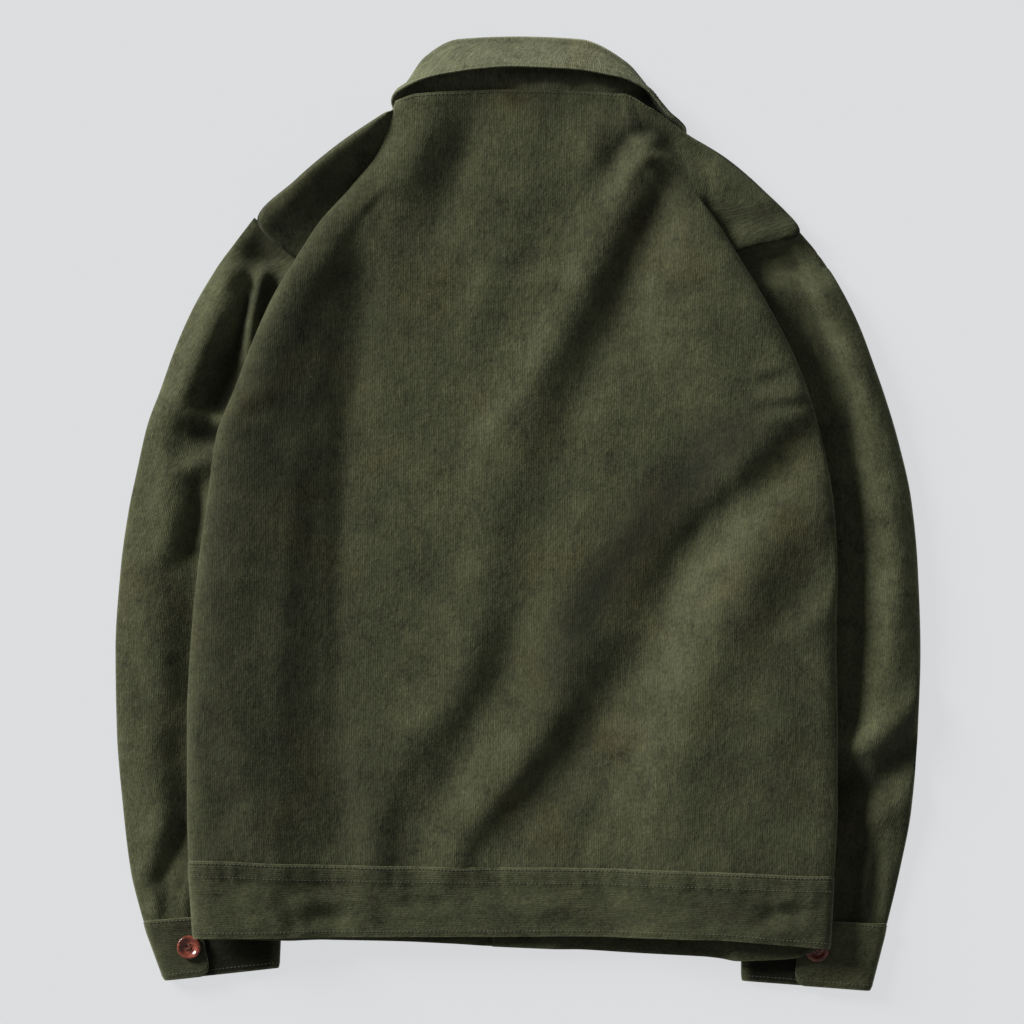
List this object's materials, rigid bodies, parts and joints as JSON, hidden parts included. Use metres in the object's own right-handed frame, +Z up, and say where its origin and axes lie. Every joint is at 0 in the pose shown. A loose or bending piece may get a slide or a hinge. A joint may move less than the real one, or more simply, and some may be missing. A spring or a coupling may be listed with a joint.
{
  "type": "corduroy jacket",
  "caption": "Olive corduroy jacket lying face down and flat, back panel up, sleeves tucked beside and under the body, collar standing, waistband and buttoned cuffs.",
  "frame": {"origin": "centre of the jacket's footprint on the surface it lies on", "axes": "+X to the right seen from above, +Y from the hem to the collar, +Z up from the surface, out of the back panel"},
  "size_m": [0.6296, 0.7466, 0.0321],
  "materials": {
    "corduroy": "matt olive fine-wale corduroy with a soft nap",
    "trim": "the same corduroy, doubled and topstitched",
    "button": "glossy red-brown resin"
  },
  "bodies": {
    "root": {"back_panel": "corduroy", "collar": "trim", "cuff_button_left": "button", "cuff_button_right": "button", "cuff_left": "trim", "cuff_right": "trim", "front_button_1": "button", "front_button_2": "button", "front_button_3": "button", "front_button_4": "button", "front_button_5": "button", "front_button_6": "button", "front_left": "corduroy", "front_right": "corduroy", "sleeve_left": "corduroy", "sleeve_right": "corduroy", "waistband": "trim"}
  },
  "joints": []
}
